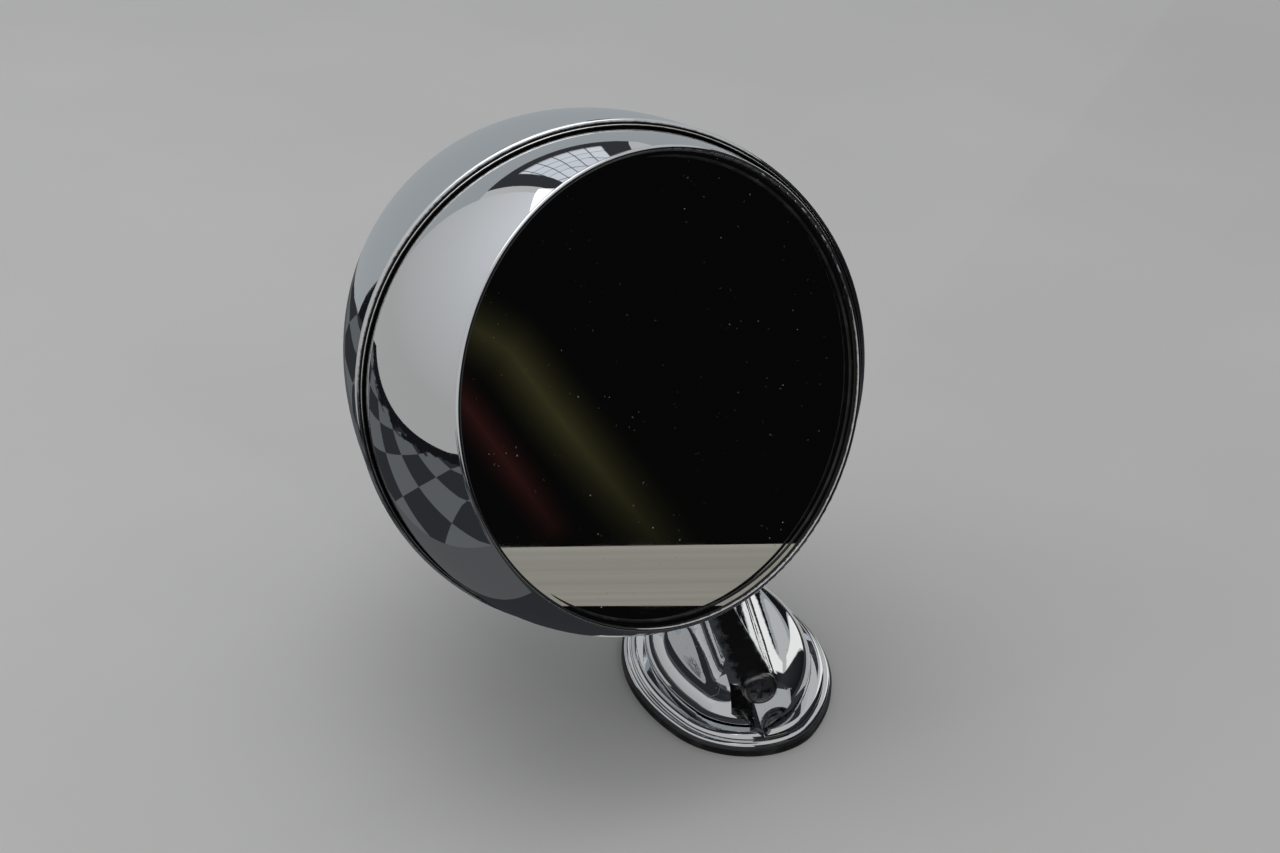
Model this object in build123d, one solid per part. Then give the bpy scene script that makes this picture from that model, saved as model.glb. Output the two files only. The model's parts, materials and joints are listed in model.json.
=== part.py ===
from build123d import *
import os
from math import atan2, degrees, radians, sqrt, tan

# Round door mirror: a chrome foot and neck, a bullet-shaped head shell and a ball-shaped
# glass holder that swivels in the shell's mouth on a universal joint.
# Millimetres. Z is up from the door, -Y looks back to the driver, +X is towards the car.
# The origin is on the door, under the middle of the foot.

# Foot
foot_length = 68.5          # over the middle of the bead, fore and aft
foot_width = 42.4           # over the middle of the bead, across
foot_end_radius = 15.5      # of the oval's two ends
gasket_height = 1.5
gasket_overhang = 0.5       # beyond the flange
gasket_band = 7.0           # width of the rubber ring
flange_height = 1.4
flange_overhang = 2.9       # flange edge beyond the middle of the bead
flange_round = 0.6          # share of the flange's height
bead_radius = 1.6
bead_round = 0.94           # share of the bead's radius
dome_inset = 1.7            # dome's edge inside the middle of the bead
dome_height = 12.0          # top of the dome over the door
dome_round = 7.5            # rounding of the dome's shoulder
foot_wall = 4.2             # dome's wall round the hollow
foot_roof = 4.0             # metal left over the hollow

# Neck: a fin that leans outboard from the dome into the head shell
neck_foot_x = 8.0           # middle of the fin, carried down to the door's face
neck_lean = 27.0            # degrees outboard of upright
neck_root_width = 11.3      # at the door's face
neck_tip_width = 5.1        # at neck_reach over the door
neck_root_front = 22.0      # front end at the door's face
neck_tip_front = 15.0       # front end at neck_reach
neck_reach = 46.0           # ends inside the head, trimmed by the shell
neck_flare = 7.0            # round where it leaves the dome
neck_trim = 3.0             # cut off its round rear end to make the flat rear face

# Set screw and the V channel that leads a driver to it
screw_face_y = -24.5        # flat rear face of the neck
screw_height = 10.4         # of its axis over the door
screw_offset = 3.0          # inboard of the foot's middle
channel_width = 14.5
channel_tip_height = 3.6    # bottom of the V
channel_side_height = 7.4   # where the V meets its upright sides
rear_wall = 5.0             # metal that carries the screw's thread

# Head
ball_x = -33.2
ball_y = -20.0
ball_lift = 31.0            # underside of the ball over the door
ball_radius = 55.0
head_tilt = 12.0            # the shell's mouth looks up by this much
head_turn = 7.0             # and inboard by this much
running_gap = 0.3           # ball to mouth ring
shell_wall = 1.7
shell_stand = 1.2           # shell's outside beyond the ball
shell_straight = 3.0        # straight wall behind the ball's middle
shell_depth = 92.0          # ball's middle to the nose
shell_side_radius = 220.0   # long arc of the shell's side
mouth_seat = -2.4           # the shell's end face, behind the ball's middle
mouth_lip = 0.6             # the ring's front edge
mouth_lip_round = 0.25
mouth_bead = 0.95           # radius of the ring's round bead
mouth_overhang = 0.55       # bead beyond the shell
mouth_sleeve = 8.0          # the ring's sleeve inside the shell
mouth_wall = 0.5            # shell's wall left round the sleeve

# Glass and its holder
glass_plane = 19.8          # crest of the holder's rim in front of the ball's middle
glass_thickness = 3.0
glass_clearance = 0.1
rim_lip = 0.9               # the rim's crest over the glass
rim_cover = 1.4             # width of the rim's half-round, turned in over the glass
seat_depth = 1.0            # wall between the glass and the ball's surface
pad_thickness = 1.5
plate_thickness = 1.6
holder_wall = 1.7
holder_back = 27.5          # back edge behind the ball's middle
rest_turn = 19.2            # the glass faces this far inboard of the head as it is left
rest_pitch = 5.9            # and this far up

# Universal joint at the ball's middle
pin_radius = 2.0
pin_fit = 0.03
pin_overhang = 0.5          # beyond the ears at each end
ear_radius = 5.0
ear_thickness = 3.4
ear_gap = 0.3               # cross to ear
cross_size = 13.0
cross_chamfer = 1.0
fork_base = 17.0            # bottom of the post's fork behind the ball's middle
fork_floor = 4.0
post_radius = 4.5
boss_radius = 8.5
boss_height = 13.0

# Door bracket under the foot
bracket_thickness = 2.0
bracket_width = 15.0
bracket_rise = 7.2          # top of its front tab over the door
bracket_play = 0.3
tab_width = 5.0             # rear tab, behind the set screw
tab_cover = 2.0             # height of that tab over the set screw's axis
hook_reach = 3.4
hook_thickness = 1.8
hollow_front_y = 22.5       # front wall of the foot's hollow
bolt_spacing = 22.0
bolt_radius = 2.4
bolt_shoulder_radius = 2.7  # plain collar that centres the screw in the bracket
bolt_head_radius = 4.6
bolt_head_height = 2.4
bolt_length = 14.0          # below the door's face

# Screws
set_screw_radius = 2.5
set_screw_head_radius = 4.1
set_screw_head_height = 2.0
neck_screw_radius = 2.1
neck_screw_head_radius = 4.0
neck_screw_head_height = 2.4
neck_screw_length = 13.0
neck_screw_spacing = 13.0
neck_screw_middle_y = 4.5   # where the shell stands clear of the ball
neck_screw_room = 0.3       # round the heads
head_round = 0.6            # share of a screw head's height
recess_depth = 1.2
recess_width = 1.1
recess_reach = 2.2          # length of each arm of the cross recess

# Shell profile: straight wall, long side arc, round nose, all tangent
shell_radius = ball_radius + shell_stand
side_centre = shell_radius - shell_side_radius
nose_run = shell_depth - shell_straight
nose_radius = (nose_run ** 2 + side_centre ** 2 - shell_side_radius ** 2) / 2 / (nose_run - shell_side_radius)
nose_centre = shell_depth - nose_radius
nose_turn = degrees(atan2(nose_centre - shell_straight, -side_centre))
sleeve_radius = shell_radius - mouth_wall
sleeve_back = mouth_seat - mouth_sleeve

# Frames: the head's Z looks out of the shell's mouth, its Y is up
head = Pos(ball_x, ball_y, ball_lift + ball_radius) * Rot(0, 0, head_turn) * Rot(90 - head_tilt, 0, 0)
cross_frame = head * Rot(-rest_pitch, 0, 0)
glass_frame = cross_frame * Rot(0, rest_turn, 0)
neck_turn = Rot(0, -neck_lean, 0)


def block(width, length, low, high, x=0, y=0):
    """Upright box between two heights, its plan centred on (x, y)."""
    return Pos(x, y, (low + high) / 2) * Box(width, length, high - low)


def disc(radius, low, high):
    return Pos(0, 0, (low + high) / 2) * Cylinder(radius, high - low)


def oval(grow):
    """The foot's four-arc outline, grown by an even margin."""
    half_length = foot_length / 2
    half_width = foot_width / 2
    end_y = half_length - foot_end_radius
    side_radius = (end_y ** 2 + half_width ** 2 - foot_end_radius ** 2) / 2 / (half_width - foot_end_radius)
    side_x = side_radius - half_width
    turn = degrees(atan2(end_y, side_x))
    return make_face([
        CenterArc((-side_x, 0), side_radius + grow, -turn, 2 * turn),
        CenterArc((0, end_y), foot_end_radius + grow, turn, 180 - 2 * turn),
        CenterArc((side_x, 0), side_radius + grow, 180 - turn, 2 * turn),
        CenterArc((0, -end_y), foot_end_radius + grow, 180 + turn, 180 - 2 * turn),
    ])


def oval_block(grow, low, high):
    return Pos(0, 0, low) * extrude(oval(grow), high - low)


def turned(edges):
    """Turns a closed outline, drawn as (radius, height), about the height axis."""
    return revolve(Plane.XZ * make_face(edges), Axis.Z, 360)


def bullet(inset):
    """Solid of the shell's outline from the nose to the mouth, inset by a wall."""
    side = shell_side_radius - inset
    nose = nose_radius - inset
    radius = shell_radius - inset
    return turned([
        Line((0, mouth_lip), (radius, mouth_lip)),
        Line((radius, mouth_lip), (radius, -shell_straight)),
        CenterArc((side_centre, -shell_straight), side, 0, -nose_turn),
        CenterArc((0, -nose_centre), nose, -nose_turn, nose_turn - 90),
        Line((0, -nose_centre - nose), (0, mouth_lip)),
    ])


shell_outside = bullet(0)
shell_inside = bullet(shell_wall)


# Door gasket and foot
flange_low = gasket_height
flange_top = flange_low + flange_height
hollow_roof = dome_height - foot_roof
hollow_rear_y = screw_face_y + rear_wall
set_screw_place = Pos(screw_offset, screw_face_y, screw_height) * Rot(90, 0, 0)
bracket_rear_y = hollow_rear_y + 2 * bracket_play
tab_front_y = bracket_rear_y + bracket_thickness
tab_top = screw_height + tab_cover
set_screw_length = bracket_rear_y - screw_face_y


def make_gasket():
    edge = flange_overhang + gasket_overhang
    return oval_block(edge, 0, gasket_height) - oval_block(edge - gasket_band, 0, gasket_height)


def neck_section(width, front_y, height):
    rear_y = screw_face_y - neck_trim
    middle_x = neck_foot_x - tan(radians(neck_lean)) * height
    place = Pos(middle_x, (front_y + rear_y) / 2, height)
    return place * Rot(0, 0, 90) * SlotOverall(front_y - rear_y, width)


def make_dome_and_neck():
    """The neck flares into the dome all round, then its rear end is cut flat."""
    dome = oval_block(-dome_inset, flange_low, dome_height)
    dome = fillet(dome.edges().group_by(Axis.Z)[-1], dome_round)
    root = neck_section(neck_root_width, neck_root_front, 0)
    tip = neck_section(neck_tip_width, neck_tip_front, neck_reach)
    neck = loft([root, tip], ruled=True) - block(foot_length, 2 * foot_length, 0, hollow_roof)
    body = dome + neck
    seam = [edge for edge in new_edges(dome, neck, combined=body) if edge.center().Z > hollow_roof]
    body = fillet(seam, neck_flare)
    behind_y = screw_face_y - foot_length / 2
    return body - block(2 * foot_width, foot_length, dome_height, neck_reach, neck_foot_x, behind_y)


def make_bead():
    """Half-round bead on the flange, open over the groove between it and the dome."""
    bead = oval_block(bead_radius, flange_top, flange_top + bead_radius)
    bead = fillet(bead.edges().group_by(Axis.Z)[-1], bead_radius * bead_round)
    groove = oval_block(0, flange_top, dome_height) - oval_block(-dome_inset, flange_top, dome_height)
    return bead - groove


def make_channel():
    """V channel behind the neck, open to the rear, with the set screw's hole at its end."""
    half = channel_width / 2
    section = make_face(Polyline(
        (0, channel_tip_height),
        (half, channel_side_height),
        (half, dome_height),
        (-half, dome_height),
        (-half, channel_side_height),
        close=True,
    ))
    channel = Pos(screw_offset, screw_face_y, 0) * extrude(Plane.XZ * section, foot_length / 2)
    thread = set_screw_place * disc(set_screw_radius, -set_screw_length, 0)
    return channel + thread


def make_hollow():
    """Room for the door bracket under the dome, a pocket for its rear tab and a slot for its hook."""
    middle_y = (hollow_front_y + hollow_rear_y) / 2
    hollow = oval_block(-foot_wall - dome_inset, 0, hollow_roof)
    hollow = hollow & block(foot_width, hollow_front_y - hollow_rear_y, 0, hollow_roof, 0, middle_y)
    slot = block(
        bracket_width + 2 * bracket_play,
        hook_reach + 2 * bracket_play,
        bracket_rise - hook_thickness - bracket_play,
        bracket_rise + bracket_play,
        0,
        hollow_front_y + hook_reach / 2,
    )
    pocket_length = tab_front_y + bracket_play - hollow_rear_y
    pocket = block(
        tab_width + 2 * bracket_play,
        pocket_length,
        0,
        tab_top + bracket_play,
        screw_offset,
        hollow_rear_y + pocket_length / 2,
    )
    return hollow + slot + pocket


def make_pedestal():
    flange = oval_block(flange_overhang, flange_low, flange_top)
    flange = fillet(flange.edges().group_by(Axis.Z)[-1], flange_height * flange_round)
    body = make_dome_and_neck() + flange + make_bead() - head * shell_outside - make_channel() - make_hollow()
    for place in neck_screw_places:
        body -= place * disc(neck_screw_radius, -neck_screw_length, 0)
    return body


# Screws
def make_screw(head_radius, head_height, shank_radius, shank_length):
    """A pan-head screw with a cross recess: its seat at the origin, its head up."""
    top = disc(head_radius, 0, head_height)
    top = fillet(top.edges().group_by(Axis.Z)[-1], head_height * head_round)
    arm = block(2 * recess_reach, recess_width, head_height - recess_depth, head_height)
    return top - (arm + Rot(0, 0, 90) * arm) + disc(shank_radius, -shank_length, 0)


def neck_screw_place(side):
    """Seat of one neck screw where the shell's inside clears its head, its Z along the neck's lean."""
    y = neck_screw_middle_y + side * neck_screw_spacing / 2
    axis = Pos(neck_foot_x, y, 0) * neck_turn
    inside = head * shell_inside
    reach = 0
    for turn in range(0, 360, 15):
        rim = Plane(axis * Rot(0, 0, turn) * Pos(neck_screw_head_radius, 0, 0))
        entry = inside.find_intersection_points(Axis(rim.origin, rim.z_dir))[0][0]
        reach = max(reach, (entry - rim.origin).length)
    return axis * Pos(0, 0, reach)


neck_screw_places = [neck_screw_place(side) for side in (-1, 1)]


def make_neck_screws():
    screw = make_screw(neck_screw_head_radius, neck_screw_head_height, neck_screw_radius, neck_screw_length)
    return Compound(children=[place * screw for place in neck_screw_places])


def make_set_screw():
    return set_screw_place * make_screw(
        set_screw_head_radius, set_screw_head_height, set_screw_radius, set_screw_length
    )


# Door bracket: a plate with two upright tabs, screwed to the door's skin
bracket_front_y = hollow_front_y - bracket_play
bracket_length = bracket_front_y - bracket_rear_y
bracket_middle_y = (bracket_rear_y + bracket_front_y) / 2
bolt_places = [Pos(0, bracket_middle_y + side * bolt_spacing / 2, 0) for side in (-1, 1)]


def make_bracket():
    """The set screw pushes on the rear tab and so draws the foot back over the hook."""
    body = block(bracket_width, bracket_length, 0, bracket_thickness, 0, bracket_middle_y)
    body += block(tab_width, bracket_thickness, 0, tab_top, screw_offset, tab_front_y - bracket_thickness / 2)
    body += block(
        bracket_width, bracket_thickness, 0, bracket_rise, 0, bracket_front_y - bracket_thickness / 2
    )
    hook_low = bracket_rise - hook_thickness
    body += block(bracket_width, hook_reach, hook_low, bracket_rise, 0, bracket_front_y + hook_reach / 2)
    for place in bolt_places:
        body -= place * disc(bolt_shoulder_radius, 0, bracket_thickness)
    return body


def make_bolts():
    screw = Pos(0, 0, bracket_thickness) * make_screw(
        bolt_head_radius, bolt_head_height, bolt_shoulder_radius, bracket_thickness
    )
    screw += disc(bolt_radius, -bolt_length, 0)
    return Compound(children=[place * screw for place in bolt_places])


# Head shell and the ring in its mouth
def make_shell():
    """Drawn bullet, thinned where the ring's sleeve sits, with a boss for the post in its nose."""
    inside_depth = shell_depth - shell_wall
    boss_low = boss_height - inside_depth
    body = shell_outside - shell_inside - disc(2 * shell_radius, mouth_seat, mouth_lip)
    body -= disc(sleeve_radius, sleeve_back, mouth_seat)
    body += disc(boss_radius, -shell_depth, boss_low) & shell_outside
    body -= disc(post_radius, shell_wall - inside_depth, boss_low)
    for place in neck_screw_places:
        local = head.inverse() * place
        body -= local * disc(neck_screw_radius, -neck_screw_length, 0)
        body -= local * disc(neck_screw_head_radius + neck_screw_room, 0, boss_height)
    return body


def make_mouth_ring():
    inner = ball_radius + running_gap
    lip_radius = sqrt(inner ** 2 - mouth_lip ** 2)
    back_radius = sqrt(inner ** 2 - sleeve_back ** 2)
    lip_edge = sleeve_radius - mouth_lip_round
    bead_radius_middle = shell_radius + mouth_overhang - mouth_bead
    bead_top = mouth_seat + 2 * mouth_bead
    return turned([
        ThreePointArc((back_radius, sleeve_back), (inner, 0), (lip_radius, mouth_lip)),
        Line((lip_radius, mouth_lip), (lip_edge, mouth_lip)),
        CenterArc((lip_edge, mouth_lip - mouth_lip_round), mouth_lip_round, 90, -90),
        Line((sleeve_radius, mouth_lip - mouth_lip_round), (sleeve_radius, bead_top)),
        Line((sleeve_radius, bead_top), (bead_radius_middle, bead_top)),
        CenterArc((bead_radius_middle, mouth_seat + mouth_bead), mouth_bead, 90, -180),
        Line((bead_radius_middle, mouth_seat), (sleeve_radius, mouth_seat)),
        Line((sleeve_radius, mouth_seat), (sleeve_radius, sleeve_back)),
        Line((sleeve_radius, sleeve_back), (back_radius, sleeve_back)),
    ])


# Universal joint: fork on the post, cross, and ears on the holder's yoke
ear_inner = cross_size / 2 + ear_gap
ear_outer = ear_inner + ear_thickness


def make_ears(base):
    """Two ears with a shared bore along X, down to a base behind the joint's middle."""
    body = Part()
    for side in (-1, 1):
        middle = side * (ear_inner + ear_outer) / 2
        place = Pos(middle, 0, 0) * Rot(0, 90, 0)
        body += block(ear_thickness, 2 * ear_radius, -base, 0, middle)
        body += place * Cylinder(ear_radius, ear_thickness)
        body -= place * Cylinder(pin_radius + pin_fit, ear_thickness)
    return body


def make_post():
    root_depth = shell_depth - 2 * shell_wall
    floor = block(2 * ear_outer, 2 * ear_radius, -fork_base, fork_floor - fork_base)
    return make_ears(fork_base) + floor + disc(post_radius, -root_depth, -fork_base)


def make_cross():
    core = chamfer(Box(cross_size, cross_size, cross_size).edges(), cross_chamfer)
    pin = Cylinder(pin_radius, 2 * (ear_outer + pin_overhang))
    return core + Rot(0, 90, 0) * pin + Rot(90, 0, 0) * pin


# Glass holder, in the glass's own frame
glass_face = glass_plane - rim_lip
pad_face = glass_face - glass_thickness
plate_face = pad_face - pad_thickness
plate_back = plate_face - plate_thickness
holder_inside = ball_radius - holder_wall
seat_radius = sqrt(ball_radius ** 2 - glass_face ** 2) - seat_depth
glass_radius = seat_radius - glass_clearance
plate_radius = sqrt(holder_inside ** 2 - plate_back ** 2)


def make_holder():
    """Ball-shaped skin, open behind, with a step for glass and plate and a rolled-in rim."""
    rim_foot = glass_plane - rim_cover / 2
    rim = sqrt(ball_radius ** 2 - rim_foot ** 2)
    back = sqrt(ball_radius ** 2 - holder_back ** 2)
    back_inside = sqrt(holder_inside ** 2 - holder_back ** 2)
    return turned([
        ThreePointArc((back, -holder_back), (ball_radius, 0), (rim, rim_foot)),
        CenterArc((rim - rim_cover / 2, rim_foot), rim_cover / 2, 0, 180),
        Line((rim - rim_cover, rim_foot), (rim - rim_cover, glass_face)),
        Line((rim - rim_cover, glass_face), (seat_radius, glass_face)),
        Line((seat_radius, glass_face), (seat_radius, plate_face)),
        Line((seat_radius, plate_face), (plate_radius, plate_face)),
        Line((plate_radius, plate_face), (plate_radius, plate_back)),
        ThreePointArc((plate_radius, plate_back), (holder_inside, 0), (back_inside, -holder_back)),
        Line((back_inside, -holder_back), (back, -holder_back)),
    ])


def make_yoke():
    ears = Rot(0, 0, 90) * Rot(180, 0, 0) * make_ears(plate_back)
    return disc(plate_radius - glass_clearance, plate_back, plate_face) + ears


parts = {
    "door_gasket": make_gasket(),
    "door_bracket": make_bracket(),
    "bracket_screws": make_bolts(),
    "pedestal": make_pedestal(),
    "set_screw": make_set_screw(),
    "neck_screws": make_neck_screws(),
    "head_shell": head * make_shell(),
    "mouth_ring": head * make_mouth_ring(),
    "pivot_post": head * make_post(),
    "swivel_cross": cross_frame * make_cross(),
    "ball_holder": glass_frame * make_holder(),
    "holder_yoke": glass_frame * make_yoke(),
    "glass_pad": glass_frame * disc(glass_radius, plate_face, pad_face),
    "mirror_glass": glass_frame * disc(glass_radius, pad_face, glass_face),
}

os.makedirs("parts", exist_ok=True)
for name, shape in parts.items():
    export_step(shape, f"parts/{name}.step")
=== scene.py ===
# %% [markdown]
# # A round chrome door mirror
# This lesson dresses a finished construction model for a picture. The solids already have their
# sizes and places, so none of them is moved or scaled here: each step adds a finish, a fine detail
# that the construction left out, or a piece of the photo studio. All lengths are in metres. Z is up
# from the face that the foot stands on, and the glass faces roughly along -Y.

# %% Load the construction model
import json
from math import cos, pi, sin, sqrt

import bpy
from mathutils import Matrix, Vector


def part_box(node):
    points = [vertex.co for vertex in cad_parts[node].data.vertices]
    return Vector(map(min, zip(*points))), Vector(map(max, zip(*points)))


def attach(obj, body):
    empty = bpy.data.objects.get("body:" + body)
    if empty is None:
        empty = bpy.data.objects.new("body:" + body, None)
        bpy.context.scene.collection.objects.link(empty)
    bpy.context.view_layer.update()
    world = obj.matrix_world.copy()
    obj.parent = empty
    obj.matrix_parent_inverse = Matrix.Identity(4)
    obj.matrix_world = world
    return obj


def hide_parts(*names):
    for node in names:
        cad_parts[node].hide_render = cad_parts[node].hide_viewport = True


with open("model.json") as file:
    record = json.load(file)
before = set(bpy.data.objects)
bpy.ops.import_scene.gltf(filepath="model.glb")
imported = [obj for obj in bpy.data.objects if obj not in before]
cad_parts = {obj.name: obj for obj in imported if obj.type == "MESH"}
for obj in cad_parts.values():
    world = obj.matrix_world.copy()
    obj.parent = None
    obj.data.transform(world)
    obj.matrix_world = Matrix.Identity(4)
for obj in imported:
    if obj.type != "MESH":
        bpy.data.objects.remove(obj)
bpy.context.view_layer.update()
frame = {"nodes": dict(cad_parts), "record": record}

nodes = frame["nodes"]
mm = 0.001
print("nodes:", ", ".join(sorted(nodes)))

# %% [markdown]
# ## The camera
# The photograph looks down at the glass. The camera's place was worked out from the mirror's round
# outlines, which show as ellipses there. A camera could be aimed by eye until the picture looks alike,
# but then every later comparison would be a guess. So it stands at the worked-out place and looks the
# same way. The lens is twice as long, so the mirror fills the picture and its perspective stays.

# %% Place the camera
photo_width = 1280
photo_height = 853
focal_pixels = 1369.3
closer = 2.0
camera_place = Vector((-0.1127, -0.5434, 0.3451))
view_back = Vector((-0.143, -0.8795, 0.454)).normalized()
near_right = Vector((0.9897, -0.1309, 0.0582))
view_up = view_back.cross(near_right).normalized()
view_right = view_up.cross(view_back)

camera_data = bpy.data.cameras.new("camera")
camera_data.sensor_width = 36.0
camera_data.lens = closer * focal_pixels / photo_width * camera_data.sensor_width
camera = bpy.data.objects.new("camera", camera_data)
bpy.context.scene.collection.objects.link(camera)
turn = Matrix((view_right, view_up, view_back)).transposed()
camera.matrix_world = Matrix.Translation(camera_place) @ turn.to_4x4()
bpy.context.scene.camera = camera
bpy.context.scene.view_settings.view_transform = "Standard"
print("lens", round(camera_data.lens, 1), "mm")

# %% [markdown]
# ## Where the glass looks
# A mirror's picture is whatever stands in front of it. To stage that, the script needs the glass's
# middle and the direction it faces. Typing them in would tie the script to one pose, so both are read
# from the loaded mesh: of all its facets, the ones that face the camera are the front, and their
# average is exact because the glass is flat.

# %% Measure the glass
least_facing = 0.5
glass_mesh = nodes["mirror_glass"].data
front = [face for face in glass_mesh.polygons if face.normal.dot(view_back) > least_facing]
front_area = sum(face.area for face in front)
glass_axis = sum((face.normal * face.area for face in front), Vector()).normalized()
glass_middle = sum((face.center * face.area for face in front), Vector()) / front_area
glass_width = 2 * sqrt(front_area / pi)
ball_middle = Vector(frame["record"]["behaviour"]["joints"][0]["pos_m"])
print("glass", round(glass_width / mm, 1), "mm across, faces", [round(v, 3) for v in glass_axis])

# %% [markdown]
# ## A short way to write materials
# Every finish below is a small network of nodes. Adding nodes by hand in Blender's editor is fine for
# one material, but in a script four lines per node hide what the network does. These helpers let one
# line make a node with its settings, and one line join two of them. Values that are the same all over
# a surface are set on the shader itself.

# %% Helpers for node materials
def new_material(name, **settings):
    """A material and its shader, with plain values for the shader's sockets."""
    made = bpy.data.materials.new(name)
    made.use_nodes = True
    shader = made.node_tree.nodes["Principled BSDF"]
    fill(shader, settings)
    return made, shader


def fill(node, settings):
    """Sets a node's own properties, and its sockets by name with _ for a space."""
    for key, value in settings.items():
        if hasattr(node, key):
            setattr(node, key, value)
        else:
            node.inputs[key.replace("_", " ")].default_value = value


def add_node(material, kind, **settings):
    node = material.node_tree.nodes.new("ShaderNode" + kind)
    fill(node, settings)
    return node


def join(material, out_socket, in_socket):
    material.node_tree.links.new(out_socket, in_socket)


def grey(level):
    return (level, level, level, 1.0)


def dress(material, *names):
    for name in names:
        slots = nodes[name].data.materials
        slots.clear()
        slots.append(material)
        print(name, "wears", material.name)


# %% [markdown]
# ## Textures in real sizes
# A node's texture can follow the whole object's box or its real coordinates. The box would stretch a
# scratch on the long shell more than on the short foot, so the real coordinates are used: a noise
# with a scale of 1000 then has one bump per millimetre on every piece.

# %% Helpers for texture patterns
def real_place(material, stretch=(1.0, 1.0, 1.0)):
    """The piece's coordinates in metres, squeezed along chosen axes to draw out a pattern."""
    place = add_node(material, "TexCoord")
    mapping = add_node(material, "Mapping", Scale=stretch)
    join(material, place.outputs["Object"], mapping.inputs["Vector"])
    return mapping.outputs["Vector"]


def noise(material, place, per_metre, detail=3.0, roughness=0.5):
    made = add_node(material, "TexNoise", Scale=per_metre, Detail=detail, Roughness=roughness)
    join(material, place, made.inputs["Vector"])
    return made.outputs["Fac"]


def remap(material, value, span, onto=(0.0, 1.0)):
    """Stretches the part of a pattern inside a span over another range, and clips the rest."""
    made = add_node(material, "MapRange")
    for key, number in zip(("From Min", "From Max", "To Min", "To Max"), (*span, *onto)):
        made.inputs[key].default_value = number
    join(material, value, made.inputs["Value"])
    return made.outputs["Result"]


def combine(material, operation, first, second):
    """A sum, product or the like of two values, each a pattern or a number."""
    made = add_node(material, "Math", operation=operation)
    for socket, value in zip(made.inputs, (first, second)):
        if isinstance(value, float):
            socket.default_value = value
        else:
            join(material, value, socket)
    return made.outputs[0]


def colour_between(material, share, first, second):
    """The first colour where the share is 0 and the second where it is 1, each a pattern or plain."""
    made = add_node(material, "Mix", data_type="RGBA")
    join(material, share, made.inputs["Factor"])
    colour_sockets = (made.inputs[6], made.inputs[7])
    for socket, colour in zip(colour_sockets, (first, second)):
        if isinstance(colour, tuple):
            socket.default_value = colour
        else:
            join(material, colour, socket)
    return made.outputs[2]


def spots(material, place, per_metre, core, edge):
    """Scattered round spots: 1 within the core radius and 0 past the edge, as shares of a cell."""
    cells = add_node(material, "TexVoronoi", Scale=per_metre)
    join(material, place, cells.inputs["Vector"])
    return remap(material, cells.outputs["Distance"], (core, edge), onto=(1.0, 0.0))


def relief(material, shader, height, depth, strength=1.0):
    """Bends the light as if the surface rose by depth metres where the pattern is 1."""
    made = add_node(material, "Bump", Strength=strength, Distance=depth)
    join(material, height, made.inputs["Height"])
    join(material, made.outputs["Normal"], shader.inputs["Normal"])


# %% [markdown]
# ## Chrome
# Chrome plate is a perfect mirror only in a drawing. Under the plate of a casting the metal is ground
# by hand, so the surface swells gently; years of wiping leave a haze of fine marks, and a casting has
# small pits. A picture of some surroundings could be wrapped on as a reflection, but it would slide
# wrongly when the piece turns. So the plate is a bare metal shader that reflects the studio, and
# patterns break it up: slow swells in the relief, haze and wipe marks in the roughness, and sparse
# pits in both. Some pieces also get painted shade, a near-black and duller tone in their recesses and
# corners. Where that is differs from piece to piece, so the painted shade comes from a function that
# is handed in.

# %% Chrome plate
chrome_tint = (0.80, 0.815, 0.83, 1.0)
pitted_tint = (0.70, 0.715, 0.735, 1.0)
# Painted shade: a near-black tone and extra roughness where a piece's shade mask is 1.
painted_shade_tint = (0.030, 0.028, 0.025, 1.0)
pit_dullness = 0.25
painted_shade_dullness = 0.35
pit_depth_share = 0.4


def chrome(name, swell_depth, haziest, pitted_share, painted_shade=None):
    """Plated metal: swells in metres, its haziest roughness, how much of it is pitted, and its painted
    shade.
    """
    material, shader = new_material(name, Metallic=1.0)
    place = real_place(material)
    wiped = real_place(material, stretch=(1.0, 0.35, 0.12))

    haze = noise(material, place, per_metre=90.0, detail=6.0, roughness=0.65)
    haze = remap(material, haze, (0.45, 0.72), onto=(0.012, haziest))
    marks = noise(material, wiped, per_metre=2600.0, detail=2.0, roughness=0.4)
    marks = remap(material, marks, (0.66, 0.74), onto=(0.0, 0.05))
    patches = noise(material, place, per_metre=160.0)
    patches = remap(material, patches, (1.0 - pitted_share, 1.05 - pitted_share))
    pits = spots(material, place, per_metre=900.0, core=0.08, edge=0.16)
    pitted = combine(material, "MULTIPLY", pits, patches)

    rough = combine(material, "ADD", haze, marks)
    rough = combine(material, "ADD", rough, combine(material, "MULTIPLY", pitted, pit_dullness))
    tone = colour_between(material, pitted, chrome_tint, pitted_tint)
    # Painted shade: where the handed-in mask is 1, the plate turns near black and duller.
    if painted_shade:
        shaded_share = painted_shade(material, place)
        rough = combine(material, "ADD", rough, combine(material, "MULTIPLY", shaded_share, painted_shade_dullness))
        tone = colour_between(material, shaded_share, tone, painted_shade_tint)
    join(material, rough, shader.inputs["Roughness"])
    join(material, tone, shader.inputs["Base Color"])

    swell = noise(material, place, per_metre=55.0, detail=1.0, roughness=0.4)
    sunk = combine(material, "MULTIPLY", pitted, pit_depth_share)
    relief(material, shader, combine(material, "SUBTRACT", swell, sunk), swell_depth)
    return material


shell_chrome = chrome("chrome_shell", swell_depth=0.03 * mm, haziest=0.05, pitted_share=0.30)
dress(shell_chrome, "head_shell")

# %% [markdown]
# ## Painted shade in the screw's channel
# A channel runs up the back of the foot's neck, and the set screw sits at its foot. The channel is
# painted black as shade round the screw, and the painted shade narrows as it climbs. It could be a mask
# painted by hand, but then it would be an image. Here it is the distance from a line up the channel,
# with noise added so that its edge is ragged.

# %% The foot's chrome and its painted shade
# Sizes of the painted shade round the set screw and up the channel.
neck_shade_climb = 30 * mm
neck_shade_core = 3.9 * mm
neck_shade_edge = 5.0 * mm
neck_shade_taper = 0.05
neck_shade_thickest = 0.94
neck_shade_ragged = 1.1 * mm


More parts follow.
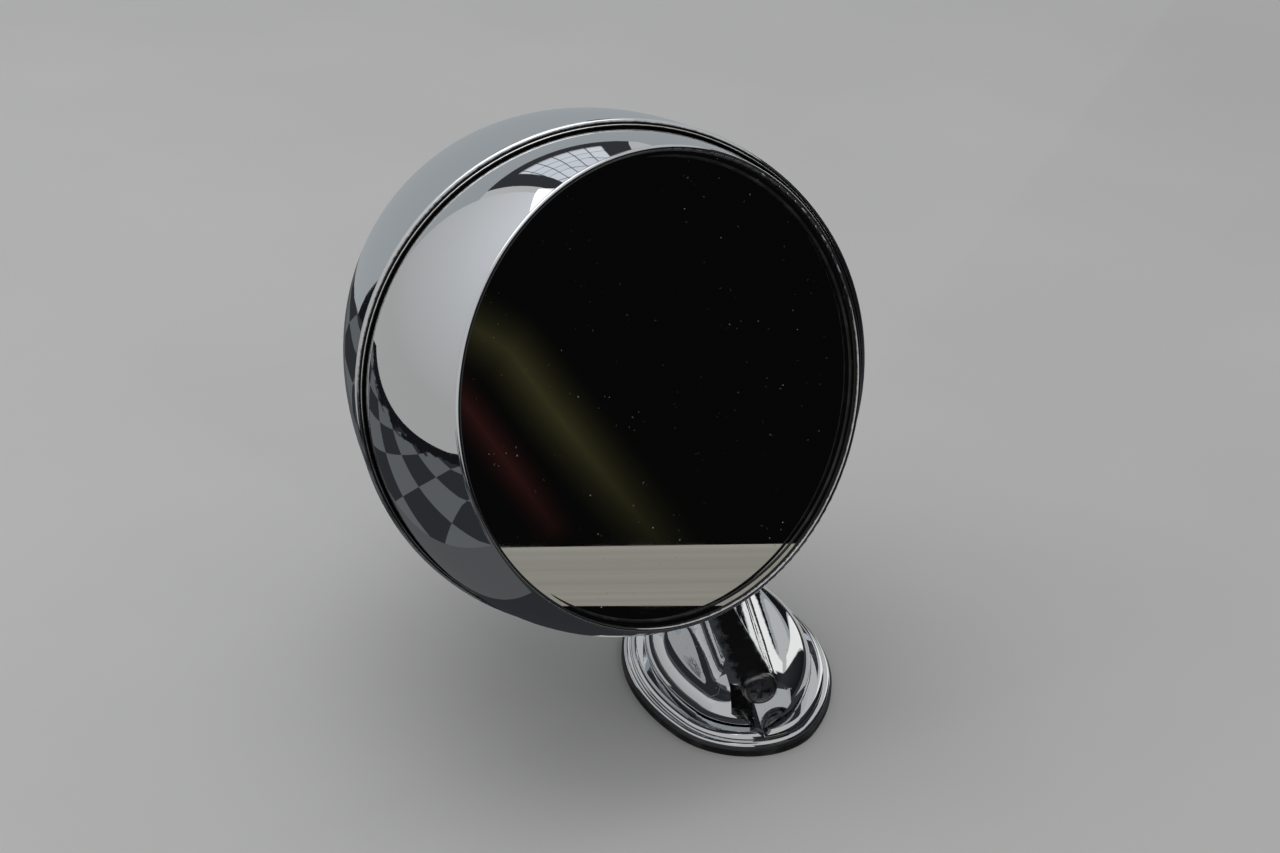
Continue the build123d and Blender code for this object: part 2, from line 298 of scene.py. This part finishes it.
def line_distance(material, place, start, end):
    """How far a point is from the nearest point of a line, and how far along the line that lies."""
    length = (end - start).length
    direction = (end - start).normalized()
    offset = add_node(material, "VectorMath", operation="SUBTRACT")
    join(material, place, offset.inputs[0])
    offset.inputs[1].default_value = start
    along = add_node(material, "VectorMath", operation="DOT_PRODUCT")
    join(material, offset.outputs["Vector"], along.inputs[0])
    along.inputs[1].default_value = direction
    reached = remap(material, along.outputs["Value"], (0.0, length), onto=(0.0, length))
    nearest = add_node(material, "VectorMath", operation="SCALE")
    nearest.inputs[0].default_value = direction
    join(material, reached, nearest.inputs["Scale"])
    apart = add_node(material, "VectorMath", operation="DISTANCE")
    join(material, offset.outputs["Vector"], apart.inputs[0])
    join(material, nearest.outputs["Vector"], apart.inputs[1])
    return apart.outputs["Value"], reached


def painted_shade_on_neck(material, place):
    """Painted shade round the set screw's head that narrows as it climbs the neck's flat rear face."""
    screw_low, screw_high = (Vector(corner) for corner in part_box("set_screw"))
    start = Vector(((screw_low.x + screw_high.x) / 2, screw_low.y, (screw_low.z + screw_high.z) / 2))
    upward = (Vector((ball_middle.x, start.y, ball_middle.z)) - start).normalized()
    apart, climbed = line_distance(material, place, start, start + upward * neck_shade_climb)
    ragged = noise(material, place, per_metre=520.0, detail=5.0, roughness=0.7)
    ragged = remap(material, ragged, (0.3, 0.7), onto=(-neck_shade_ragged, neck_shade_ragged))
    narrowing = combine(material, "MULTIPLY", climbed, neck_shade_taper)
    edge = combine(material, "ADD", combine(material, "ADD", apart, ragged), narrowing)
    return remap(material, edge, (neck_shade_core, neck_shade_edge), onto=(neck_shade_thickest, 0.0))


# The foot's chrome gets painted shade in its screw channel.
foot_chrome = chrome("chrome_casting", swell_depth=0.12 * mm, haziest=0.085, pitted_share=0.42,
                     painted_shade=painted_shade_on_neck)
dress(foot_chrome, "pedestal")

# %% [markdown]
# ## Painted shade beside the ring
# The ball runs in the shell's mouth ring with hardly any air round it, and the groove between them
# lies in shade. That shade is painted as a dark line. It could be drawn as a circle, but the ball turns
# and the circle would turn with it. Blender's ambient occlusion node measures how closed in each spot
# is by the surfaces near it, so the painted shade finds the groove at every pose.

# %% The ring's and the ball's chrome
groove_reach = 4.0 * mm


# Painted shade: ambient occlusion darkens the chrome where surfaces close in.
def painted_shade_in_corners(material, place):
    """Painted shade where another surface stands close by."""
    openness = add_node(material, "AmbientOcclusion", samples=24, Distance=groove_reach)
    ragged = noise(material, place, per_metre=900.0, detail=3.0, roughness=0.6)
    ragged = remap(material, ragged, (0.3, 0.7), onto=(-0.05, 0.05))
    open_share = combine(material, "ADD", openness.outputs["AO"], ragged)
    return remap(material, open_share, (0.78, 0.92), onto=(1.0, 0.0))


# The ring and the ball get painted shade in the groove between them.
ring_chrome = chrome("chrome_ring", swell_depth=0.03 * mm, haziest=0.05, pitted_share=0.30,
                     painted_shade=painted_shade_in_corners)
ball_chrome = chrome("chrome_ball", swell_depth=0.02 * mm, haziest=0.045, pitted_share=0.27,
                     painted_shade=painted_shade_in_corners)
dress(ring_chrome, "mouth_ring")
dress(ball_chrome, "ball_holder")

# %% [markdown]
# ## The mirror glass
# The glass is silvered behind, so one metal shader stands for glass and silver together. A real glass
# volume over a silver layer would look the same at this size and render far slower. What tells a
# mirror from a hole in the picture is what lies on it: dust specks that catch the light, a faint film
# where it was wiped, and the ground edge of the glass, which is pale green. The edge is found by its
# normal, which points away from the glass's axis.

# %% Silvered glass with dust
silver_tint = (0.79, 0.81, 0.80, 1.0)
dust_tint = (0.20, 0.195, 0.185, 1.0)
edge_tint = (0.30, 0.42, 0.36, 1.0)
dust_dullness = 0.5


def mirror_silver():
    material, shader = new_material("mirror_silver")
    place = real_place(material)
    specks = spots(material, place, per_metre=700.0, core=0.06, edge=0.15)
    clouds = noise(material, place, per_metre=38.0, detail=1.0, roughness=0.5)
    clouds = remap(material, clouds, (0.44, 0.60), onto=(0.15, 1.0))
    chosen = noise(material, place, per_metre=300.0, detail=2.0, roughness=0.6)
    chosen = remap(material, chosen, (0.53, 0.66), onto=(0.0, 0.5))
    dust = combine(material, "MULTIPLY", specks, combine(material, "MULTIPLY", chosen, clouds))

    coordinates = add_node(material, "TexCoord")
    facing = add_node(material, "VectorMath", operation="DOT_PRODUCT")
    join(material, coordinates.outputs["Normal"], facing.inputs[0])
    facing.inputs[1].default_value = glass_axis
    edge = remap(material, facing.outputs["Value"], (0.6, 0.9), onto=(1.0, 0.0))
    dull = combine(material, "MAXIMUM", dust, edge)

    film = noise(material, place, per_metre=45.0, detail=4.0, roughness=0.6)
    film = remap(material, film, (0.45, 0.75), onto=(0.006, 0.03))
    rough = combine(material, "ADD", film, combine(material, "MULTIPLY", dull, dust_dullness))
    tone = colour_between(material, edge, silver_tint, edge_tint)
    join(material, rough, shader.inputs["Roughness"])
    join(material, combine(material, "SUBTRACT", 1.0, dull), shader.inputs["Metallic"])
    join(material, colour_between(material, dust, tone, dust_tint), shader.inputs["Base Color"])
    return material


dress(mirror_silver(), "mirror_glass")

# %% [markdown]
# ## Screws, swivel and bracket
# These are plain steel under thin plating. The pivot shows the long grain of the bar it was made
# from, a pressed bracket shows the patchy yellow of zinc plate, and the set screw in its channel is
# dark with oil. One function makes them all: a base tone, a second tone in patches, and a grain.
# Separate images would need unwrapping; noise in real sizes needs none.

# %% Steel
grain_depth = 0.03 * mm
grain_strength = 0.6


def steel(name, tone, patch_tone, roughness, grain=(1.0, 1.0, 1.0)):
    """Plated steel: two tones, its lowest and highest roughness, and the stretch of its grain."""
    material, shader = new_material(name, Metallic=1.0)
    place = real_place(material)
    drawn = real_place(material, grain)
    patches = noise(material, place, per_metre=320.0, detail=5.0, roughness=0.6)
    patches = remap(material, patches, (0.42, 0.62))
    join(material, colour_between(material, patches, tone, patch_tone), shader.inputs["Base Color"])
    fine = noise(material, drawn, per_metre=1800.0, detail=3.0, roughness=0.6)
    rough = remap(material, fine, (0.3, 0.7), onto=roughness)
    join(material, rough, shader.inputs["Roughness"])
    relief(material, shader, fine, grain_depth, grain_strength)
    return material


bracket_steel = steel("bracket_steel", (0.58, 0.54, 0.38, 1.0), (0.46, 0.47, 0.44, 1.0),
                      roughness=(0.25, 0.50))
pivot_steel = steel("pivot_steel", (0.50, 0.51, 0.52, 1.0), (0.36, 0.35, 0.33, 1.0),
                    roughness=(0.20, 0.40), grain=(1.0, 1.0, 0.2))
yoke_steel = steel("yoke_steel", (0.48, 0.49, 0.51, 1.0), (0.38, 0.39, 0.41, 1.0),
                   roughness=(0.28, 0.50))
screw_steel = steel("screw_steel", (0.52, 0.53, 0.54, 1.0), (0.40, 0.41, 0.43, 1.0),
                    roughness=(0.22, 0.42))
oiled_steel = steel("set_screw_steel", (0.24, 0.24, 0.245, 1.0), (0.10, 0.10, 0.105, 1.0),
                    roughness=(0.22, 0.40))
dress(bracket_steel, "door_bracket")
dress(pivot_steel, "pivot_post", "swivel_cross")
dress(yoke_steel, "holder_yoke")
dress(screw_steel, "neck_screws")
dress(oiled_steel, "set_screw")

# %% [markdown]
# ## Rubber
# The gasket is a moulded strip that has stood in sun and rain: nearly black, a little greyer in
# patches where the bloom came up, with a leathery skin. The pad behind the glass is foam, so its skin
# is open cells instead. Modelled cells would cost thousands of faces on a pad that hardly shows, so
# both skins are relief: one shader with patterns of different sizes.

# %% Gasket and pad
rubber_sheen = 0.35
skin_strength = 0.5


def rubber(name, tone, bloom_tone, skin_per_metre, skin_depth, roughness):
    material, shader = new_material(name, Roughness=roughness, Specular_IOR_Level=rubber_sheen)
    place = real_place(material)
    bloom = noise(material, place, per_metre=210.0, detail=5.0, roughness=0.6)
    bloom = remap(material, bloom, (0.45, 0.7))
    join(material, colour_between(material, bloom, tone, bloom_tone), shader.inputs["Base Color"])
    skin = add_node(material, "TexVoronoi", Scale=skin_per_metre)
    join(material, place, skin.inputs["Vector"])
    relief(material, shader, skin.outputs["Distance"], skin_depth, skin_strength)
    return material


gasket_rubber = rubber("gasket_rubber", grey(0.012), grey(0.04), 2200.0, 0.05 * mm, roughness=0.42)
pad_foam = rubber("pad_rubber", grey(0.02), grey(0.05), 1200.0, 0.3 * mm, roughness=0.85)
dress(gasket_rubber, "door_gasket")
dress(pad_foam, "glass_pad")

# %% [markdown]
# ## A black ring in the shaded gap round the glass
# Between the glass and the holder's turned-in edge lies a gap in shade, and it shows as the fine dark
# line inside the bright rim. A thin black bead stands there as painted shade. A drawn line in the
# material could not stand proud and would blur, so it is a real ring: a short arc is swept round the
# glass's axis by two loops. The rim's inner edge is measured on the mesh, as the nearest it comes to
# the axis in front of the glass.

# %% Measure the rim
clear_of_glass = 0.02 * mm
rim_points = []
for vertex in nodes["ball_holder"].data.vertices:
    point = vertex.co - glass_middle
    height = point.dot(glass_axis)
    if height > clear_of_glass:
        rim_points.append(point - glass_axis * height)
rim_inner = min(point.length for point in rim_points)
print("rim", round(2 * rim_inner / mm, 1), "mm across inside")

# %% Black ring of painted shade in the gap
# Sizes of the black ring that stands as painted shade in the gap round the glass.
gap_ring_round = 0.34 * mm
gap_ring_set_in = 0.8
gap_ring_arc_steps = 9
gap_ring_steps = 160


def add_object(name, verts, faces):
    """A mesh object from its points and faces, in the scene."""
    mesh = bpy.data.meshes.new(name)
    mesh.from_pydata(verts, [], faces)
    made = bpy.data.objects.new(name, mesh)
    bpy.context.scene.collection.objects.link(made)
    return made


def ring(name, middle, axis, section, steps):
    """A closed ring about an axis; the section is a list of (radius, height) pairs."""
    across = axis.orthogonal().normalized()
    along = axis.cross(across)
    count = len(section)
    verts = []
    faces = []
    for step in range(steps):
        angle = 2 * pi * step / steps
        out = across * cos(angle) + along * sin(angle)
        verts += [middle + out * radius + axis * height for radius, height in section]
        here = step * count
        there = (step + 1) % steps * count
        for k in range(count):
            after = (k + 1) % count
            faces.append((here + k, here + after, there + after, there + k))
    made = add_object(name, verts, faces)
    made.data.shade_smooth()
    return made


gap_ring_section = []
for k in range(gap_ring_arc_steps):
    angle = pi * k / (gap_ring_arc_steps - 1)
    gap_ring_section.append((rim_inner - gap_ring_round * (gap_ring_set_in - cos(angle)), gap_ring_round * sin(angle)))
# The black ring is painted shade in the gap between the glass and the rim.
gap_ring = ring("glass_gap_shade", glass_middle, glass_axis, gap_ring_section, gap_ring_steps)
gap_ring.data.materials.append(gasket_rubber)
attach(gap_ring, "holder")
print("gap_ring", len(gap_ring.data.polygons), "faces")

# %% [markdown]
# ## The bracket's screws
# Two tapping screws hold the bracket down. The construction has plain shanks, because threads would
# cost it thousands of facets. Here each screw is one grid of points wrapped round its axis: the rows
# follow a list of radii from the tip to the head, and the shank's radius rises and falls as a screw
# thread does, by its height and its angle together. Blender's Screw modifier makes threads too, but
# it can't run them out into a point and a smooth head in one closed mesh.

# %% Threaded screws
thread_pitch = 1.6 * mm
thread_root = 0.72
thread_steepness = 4.0
point_pitches = 2.2
shank_rows = 90
screw_around = 28
# Columns: share of the head's radius, share of the head's height.
head_profile = [(1.0, 0.0), (1.0, 0.45), (0.93, 0.72), (0.78, 0.90), (0.5, 1.0), (0.3, 1.0), (0.24, 0.5)]


def thread_radius(above_tip, angle, shank):
    """Radius of a thread that starts in a point at the tip."""
    phase = (above_tip / thread_pitch - angle / (2 * pi)) % 1.0
    tooth = max(0.0, 1.0 - abs(phase - 0.5) * thread_steepness)
    taper = min(1.0, above_tip / (point_pitches * thread_pitch))
    root = thread_root * shank
    return (root + (shank - root) * tooth) * taper


def tapping_screw(name, seat, tip, head_top, shank, head):
    """A pan-head tapping screw on a vertical axis: heights and radii in metres."""
    angles = [2 * pi * k / screw_around for k in range(screw_around)]
    rows = []
    for row in range(shank_rows + 1):
        height = tip + (seat.z - tip) * row / shank_rows
        rows.append([(thread_radius(height - tip, angle, shank), height) for angle in angles])
    for share_out, share_up in head_profile:
        rows.append([(head * share_out, seat.z + (head_top - seat.z) * share_up)] * screw_around)

    verts = []
    for row in rows:
        for angle, (radius, height) in zip(angles, row):
            verts.append((seat.x + radius * cos(angle), seat.y + radius * sin(angle), height))
    faces = []
    for row in range(len(rows) - 1):
        low = row * screw_around
        high = low + screw_around
        for k in range(screw_around):
            after = (k + 1) % screw_around
            faces.append((low + k, low + after, high + after, high + k))
    faces.append(tuple(range(len(verts) - screw_around, len(verts))))

    screw = add_object(name, verts, faces)
    screw.data.materials.append(screw_steel)
    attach(screw, "housing")
    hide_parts("bracket_screws")
    print(name, len(faces), "faces at y", round(seat.y / mm, 1), "mm")


screws_low, screws_high = (Vector(corner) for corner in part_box("bracket_screws"))
bracket_top = 2.0 * mm
screw_shank = 2.4 * mm
screw_head = (screws_high.x - screws_low.x) / 2
for name, y in (("rear_screw", screws_low.y + screw_head), ("front_screw", screws_high.y - screw_head)):
    seat = Vector(((screws_low.x + screws_high.x) / 2, y, bracket_top))
    tapping_screw(name, seat, screws_low.z, screws_high.z, screw_shank, screw_head)

# %% [markdown]
# ## Studio: floor and world
# The picture has a plain pale floor that runs out of sight and even light from all round. The floor
# stands for the panel under the foot, so it lies at the gasket's underside. A backdrop curving up
# behind would show its bend in the chrome, so instead the world is one even grey, which is both the
# soft fill and what the chrome sees past the cards.

# %% Floor and world
floor_reach = 6.0
floor_dark = grey(0.60)
floor_pale = grey(0.63)
fill_light = 0.50


def stage_quad(name, corners, material):
    made = add_object(name, corners, [(0, 1, 2, 3)])
    made.data.materials.append(material)
    return made


floor_paint, shader = new_material("floor_paint", Roughness=0.75, Specular_IOR_Level=0.2)
mottle = remap(floor_paint, noise(floor_paint, real_place(floor_paint), per_metre=9.0), (0.3, 0.7))
join(floor_paint, colour_between(floor_paint, mottle, floor_dark, floor_pale), shader.inputs["Base Color"])
floor_corners = [(-floor_reach, -floor_reach, 0), (floor_reach, -floor_reach, 0),
                 (floor_reach, floor_reach, 0), (-floor_reach, floor_reach, 0)]
stage_quad("floor", floor_corners, floor_paint)

world = bpy.data.worlds.new("studio")
bpy.context.scene.world = world
world.use_nodes = True
world.node_tree.nodes["Background"].inputs["Color"].default_value = grey(fill_light)
print("floor", 2 * floor_reach, "m wide, world at", fill_light)

# %% [markdown]
# ## Studio: soft boxes
# Chrome shows lamps as shapes: a small lamp would be a hard dot, and so the lamps are large
# rectangles. Their strength is chosen by how bright they look and not by how much they light: a box
# that is just white in the plate doesn't burn out. That brightness is watts divided by pi times the
# area.

# %% Soft boxes
def soft_box(name, place, width, height, brightness):
    data = bpy.data.lights.new(name, "AREA")
    data.shape = "RECTANGLE"
    data.size = width
    data.size_y = height
    data.energy = brightness * pi * width * height
    lamp = bpy.data.objects.new(name, data)
    bpy.context.scene.collection.objects.link(lamp)
    lamp.location = place
    lamp.rotation_euler = (ball_middle - Vector(place)).to_track_quat("-Z", "Y").to_euler()
    lamp.visible_camera = False
    print(name, round(data.energy, 2), "W")


soft_box("top_box", (-0.25, 0.1, 0.95), width=0.8, height=0.8, brightness=0.95)
soft_box("side_box", (-1.1, -0.1, 0.75), width=0.7, height=0.6, brightness=0.9)

# %% [markdown]
# ## Studio: papers that only reflections show
# A chrome ball in an empty white studio looks like grey plastic, because it needs something dark to
# show its edge and something pale beside it. Photographers stand cards just outside the picture. A
# lit card would also throw its light on the mirror, so these papers glow with their own tone and are
# hidden from everything but reflections: they cast no shadow and light nothing. The floor's weak
# sheen shows a faint trace of them in some views.

# %% Glowing papers
black = (0.008, 0.008, 0.010, 1.0)
coal = (0.035, 0.036, 0.040, 1.0)
slate = (0.026, 0.028, 0.031, 1.0)
ash = (0.115, 0.122, 0.128, 1.0)
dusk = (0.085, 0.089, 0.092, 1.0)
mist = (0.33, 0.355, 0.37, 1.0)
wall_low = (0.40, 0.40, 0.395, 1.0)
wall_high = (0.66, 0.68, 0.71, 1.0)
white = (0.92, 0.92, 0.90, 1.0)


def hide_from_all_but_reflections(made):
    made.visible_camera = False
    made.visible_diffuse = False
    made.visible_shadow = False
    made.visible_transmission = False


def glowing_paper(name):
    """Paper that gives off its own tone and returns no other light, with the socket for the tone."""
    paper, shader = new_material(name, Base_Color=grey(0.0), Roughness=1.0, Specular_IOR_Level=0.0)
    shader.inputs["Emission Strength"].default_value = 1.0
    return paper, shader.inputs["Emission Color"]


def plain_paper(name, tone):
    paper, tone_socket = glowing_paper(name)
    tone_socket.default_value = tone
    return paper


def graded_paper(name, foot, top, foot_tone, top_tone):
    """Paper whose tone changes between two heights."""
    paper, tone_socket = glowing_paper(name)
    split = add_node(paper, "SeparateXYZ")
    join(paper, real_place(paper), split.inputs["Vector"])
    share = remap(paper, split.outputs["Z"], (foot, top))
    join(paper, colour_between(paper, share, foot_tone, top_tone), tone_socket)
    return paper


# %% [markdown]
# ## Studio: cards and mats
# A pale wall stands on one side, dark cards on the other with one bright slit between them, and mats
# lie on the floor. Each is a strip of quads bent round the mirror, because one flat quad would show
# its corners in the ball. Azimuths say where round the ball a card stands: what a spot of the chrome
# looks at was worked out from its slope, a card with the right tone was put there, and some edges
# were then moved a little to match the photograph.

# %% Cards and mats bent round the ball
strip_steps = 24


def bent_strip(name, start, end, first, last, paper):
    """A strip round the ball between two azimuths, in degrees from -Y towards +X.
    Its two long edges are given as (distance, height)."""
    verts = []
    for step in range(strip_steps + 1):
        angle = (start + (end - start) * step / strip_steps) * pi / 180
        for distance, height in (first, last):
            x = ball_middle.x + sin(angle) * distance
            y = ball_middle.y - cos(angle) * distance
            verts.append((x, y, height))
    faces = [(2 * k, 2 * k + 2, 2 * k + 3, 2 * k + 1) for k in range(strip_steps)]
    made = add_object(name, verts, faces)
    made.data.materials.append(paper)
    hide_from_all_but_reflections(made)


# Columns: name, first and last azimuth, distance, foot, top, tone at the foot, tone at the top.
cards = [
    ("wall", -149, -62, 0.85, 0.0, 1.05, wall_low, wall_high),
    ("far_card", 150, 211, 1.2, 0.0, 0.60, mist, mist),
    ("nose_card", 150, 158, 1.0, 0.0, 0.40, black, black),
    ("slit", 136, 149, 1.0, 0.0, 0.60, white, white),
    ("inner_card", 15, 135, 1.0, 0.0, 0.85, black, coal),
]
for name, start, end, distance, foot, top, foot_tone, top_tone in cards:
    paper = graded_paper(name + "_paper", foot, top, foot_tone, top_tone)
    bent_strip(name, start, end, (distance, foot), (distance, top), paper)

# Columns: name, first and last azimuth, nearest and farthest distance, height, tone.
mats = [
    ("ahead_mat", -153, -149, 0.20, 1.0, 0.8 * mm, black),
    ("far_mat", 150, 211, 0.20, 1.2, 0.6 * mm, mist),
    ("wall_mat", -149, -62, 0.0, 0.85, 0.4 * mm, wall_low),
    ("inner_mat", -60, 150, 0.0, 1.0, 0.4 * mm, coal),
]
for name, start, end, near, far, height, tone in mats:
    bent_strip(name, start, end, (near, height), (far, height), plain_paper(name + "_paper", tone))
print(len(cards), "cards and", len(mats), "mats")

# %% [markdown]
# ## Studio: the chequered mat
# Low on its left the chrome ball shows dark and pale checks under a ragged black line. The checks
# could be modelled square by square, but Blender's checker pattern draws them in one node, at any
# size and angle. The black line is the mat's outer hem, and noise makes the hem's inner edge ragged.

# %% Chequered mat
check_side = 45 * mm
check_shift = (0.109, 0.1245, 0.0)
check_turn = pi / 4
hem_ragged = 12 * mm
hem_span = (-0.250, -0.240)

check_paper, check_socket = glowing_paper("check_paper")
check_place = real_place(check_paper)
turned = add_node(check_paper, "Mapping", Location=check_shift, Rotation=(0.0, 0.0, check_turn))
join(check_paper, check_place, turned.inputs["Vector"])
checks = add_node(check_paper, "TexChecker", Scale=1 / check_side)
join(check_paper, turned.outputs["Vector"], checks.inputs["Vector"])
check_tone = colour_between(check_paper, checks.outputs["Fac"], slate, ash)

split = add_node(check_paper, "SeparateXYZ")
join(check_paper, check_place, split.inputs["Vector"])
ragged = noise(check_paper, check_place, per_metre=40.0)
ragged = remap(check_paper, ragged, (0.4, 0.6), onto=(-hem_ragged, hem_ragged))
hem = combine(check_paper, "ADD", split.outputs["X"], ragged)
hem = remap(check_paper, hem, hem_span, onto=(1.0, 0.0))
join(check_paper, colour_between(check_paper, hem, check_tone, black), check_socket)
print("checks", round(check_side / mm), "mm wide")

# %% [markdown]
# ## Studio: flat mats
# Nearer to the foot the chrome shows plain tones: dusky, then darker, and pale round the foot itself.
# They could be parts of one large drawing, but separate mats can be moved one at a time. So plain
# mats lie over the inner part of the chequered one, each a little higher than the one below, and the
# higher one shows.

# %% Lay the flat mats
# Columns: name, left, right, near and far edge, height, paper.
flat_mats = [
    ("chequered_mat", -0.285, -0.02, -0.35, 0.25, 1.0 * mm, check_paper),
    ("plain_mat", -0.110, -0.02, -0.35, 0.25, 1.2 * mm, plain_paper("plain_paper", dusk)),
    ("dark_mat", -0.070, -0.02, -0.35, 0.25, 1.3 * mm, plain_paper("dark_paper", slate)),
    ("foot_mat", -0.032, 0.05, -0.01, 0.13, 1.4 * mm, plain_paper("foot_paper", wall_low)),
]
for name, left, right, near, far, height, paper in flat_mats:
    corners = [(left, near, height), (right, near, height), (right, far, height), (left, far, height)]
    hide_from_all_but_reflections(stage_quad(name, corners, paper))
    print(name, "from x", left, "to", right)

# %% [markdown]
# ## Studio: a gridded soft box
# High ahead of the mirror the photograph's chrome shows a bright panel crossed by thin dark lines.
# A soft box with a fabric grid gives the same picture. Its lines could be thin strips of mesh, but
# Blender's brick pattern draws them in one node: bricks with no stagger, and a thin dark joint. A
# dark surround behind it is wider and taller, so that it shows as a border.

# %% Gridded box
panel_tone = (0.70, 0.73, 0.78, 1.0)
panel_tone_beside = (0.64, 0.67, 0.73, 1.0)
grid_line_tone = (0.12, 0.125, 0.14, 1.0)

grid_paper, grid_socket = glowing_paper("grid_paper")
upright = add_node(grid_paper, "Mapping", Rotation=(-pi / 2, 0.0, 0.0))
join(grid_paper, real_place(grid_paper), upright.inputs["Vector"])
grid = add_node(grid_paper, "TexBrick", offset=0.0, Scale=10.0, Brick_Width=0.7, Row_Height=0.9,
                Mortar_Size=0.035, Mortar_Smooth=0.3, Mortar=grid_line_tone,
                Color1=panel_tone, Color2=panel_tone_beside)
join(grid_paper, upright.outputs["Vector"], grid.inputs["Vector"])
join(grid_paper, grid.outputs["Color"], grid_socket)
bent_strip("grid_box", -182, -160, (1.0, 0.62), (0.85, 1.10), grid_paper)
bent_strip("grid_surround", -188, -153, (1.05, 0.54), (0.86, 1.20), plain_paper("surround_paper", coal))
print("gridded box and its surround")

# %% [markdown]
# ## What the glass shows
# In the photograph the glass is nearly black with one cream band low down and two dim, blurred
# streaks. The same is staged here: a dark board and a cream strip stand where the glass looks. They
# could be pushed about until they show in the right place. Instead their corners are found as in
# billiards: a line runs from the camera through a point of the photograph to the glass, bounces off
# it and goes on to the board.

# %% Where the glass's lines of sight meet the board
board_far = 0.26
middle_column = photo_width / 2
middle_row = photo_height / 2
middle_ray = (glass_middle - camera_place).normalized()
board_axis = middle_ray - 2 * middle_ray.dot(glass_axis) * glass_axis
board_axis.z = 0
board_axis.normalize()
board_middle = glass_middle + board_axis * board_far


def bounce(column, row, nearer=0.0):
    """Where the line through a pixel of the photograph meets the board after the glass."""
    ray = view_right * (column - middle_column) + view_up * (middle_row - row) - view_back * focal_pixels
    ray.normalize()
    hit = camera_place + ray * (glass_middle - camera_place).dot(glass_axis) / ray.dot(glass_axis)
    gone = ray - 2 * ray.dot(glass_axis) * glass_axis
    return hit + gone * ((board_middle - hit).dot(board_axis) - nearer) / gone.dot(board_axis)


def hung_card(name, left, right, top_left, top_right, foot, nearer, paper):
    """A quad whose sides are columns and whose top and foot are rows of the photograph."""
    corners = [bounce(left, foot, nearer), bounce(right, foot, nearer),
               bounce(right, top_right, nearer), bounce(left, top_left, nearer)]
    hide_from_all_but_reflections(stage_quad(name, corners, paper))
    print(name, [[round(v, 3) for v in corner] for corner in corners[::2]])


# %% [markdown]
# ## The dark board and its streaks
# The two streaks are dim and have no edges. Cards of their own would look like stickers, so they are
# part of the board's paper: each fades with the distance from a bent line, and along that line with
# the distance from its brightest spot. Squaring the first share gives a thin core and a wide skirt.

# %% Board and streaks
# Columns and rows of the photograph.
glass_left = 520
glass_right = 780
board_top = 262
board_foot = 545
olive_line = [(562, 374), (590, 392), (612, 422), (668, 492)]
olive_brightest = (608, 414)
wine_line = [(556, 402), (612, 480)]
wine_brightest = (580, 436)

streak_falloff = 2.0
streak_core = 12 * mm
streak_dimmest = 0.25
board_tone = (0.0025, 0.0025, 0.0025, 1.0)
olive = (0.034, 0.031, 0.013, 1.0)
wine = (0.024, 0.0075, 0.0070, 1.0)


def add_streak(paper, under, points, half_width, brightest, fades_by, tone):
    """Lays a blurred, bent streak over a colour; it runs through points of the photograph."""
    nearest = 1.0
    for start, end in zip(points, points[1:]):
        apart = line_distance(paper, real_place(paper), bounce(*start), bounce(*end))[0]
        nearest = combine(paper, "MINIMUM", apart, nearest)
    share = remap(paper, nearest, (0.0, half_width), onto=(1.0, 0.0))
    share = combine(paper, "POWER", share, streak_falloff)
    away = add_node(paper, "VectorMath", operation="DISTANCE")
    join(paper, real_place(paper), away.inputs[0])
    away.inputs[1].default_value = bounce(*brightest)
    glow = remap(paper, away.outputs["Value"], (streak_core, fades_by), onto=(1.0, streak_dimmest))
    return colour_between(paper, combine(paper, "MULTIPLY", share, glow), under, tone)


board_paper, board_socket = glowing_paper("board_paper")
board_colour = board_tone
# Columns: points on its line, half its width, its brightest spot, how far that reaches, tone.
streaks = [
    (olive_line, 14 * mm, olive_brightest, 60 * mm, olive),
    (wine_line, 9 * mm, wine_brightest, 40 * mm, wine),
]
for points, half_width, brightest, fades_by, tone in streaks:
    board_colour = add_streak(board_paper, board_colour, points, half_width, brightest, fades_by, tone)
join(board_paper, board_colour, board_socket)
hung_card("glass_board", glass_left, glass_right, board_top, board_top, board_foot, 0.0, board_paper)

# %% [markdown]
# ## The cream strip
# The strip hangs just in front of the board. Its faint lines run along its top edge, so they are a
# noise in one dimension only, read at the distance below that edge; noise in three dimensions would
# run along the room's axes and look slanted in the glass. The edge itself catches a little light.

# %% Cream strip
# Rows of the photograph.
strip_top_left = 491.0
strip_top_right = 488.0
strip_foot = 519.5

strip_gap = 2 * mm
lit_edge = (0.4 * mm, 1.6 * mm)
strip_dark = (0.25, 0.235, 0.205, 1.0)
strip_pale = (0.34, 0.325, 0.29, 1.0)

strip_paper, strip_socket = glowing_paper("strip_paper")
top_left = bounce(glass_left, strip_top_left, strip_gap)
top_right = bounce(glass_right, strip_top_right, strip_gap)
below_top = line_distance(strip_paper, real_place(strip_paper), top_left, top_right)[0]
lines = add_node(strip_paper, "TexNoise", noise_dimensions="1D", Scale=500.0, Detail=2.0)
join(strip_paper, below_top, lines.inputs["W"])
line_share = remap(strip_paper, lines.outputs["Fac"], (0.3, 0.7), onto=(0.25, 0.75))
edge_light = remap(strip_paper, below_top, lit_edge, onto=(0.45, 0.0))
share = combine(strip_paper, "ADD", edge_light, line_share)
join(strip_paper, colour_between(strip_paper, share, strip_dark, strip_pale), strip_socket)
hung_card("glass_strip", glass_left, glass_right, strip_top_left, strip_top_right, strip_foot,
          strip_gap, strip_paper)
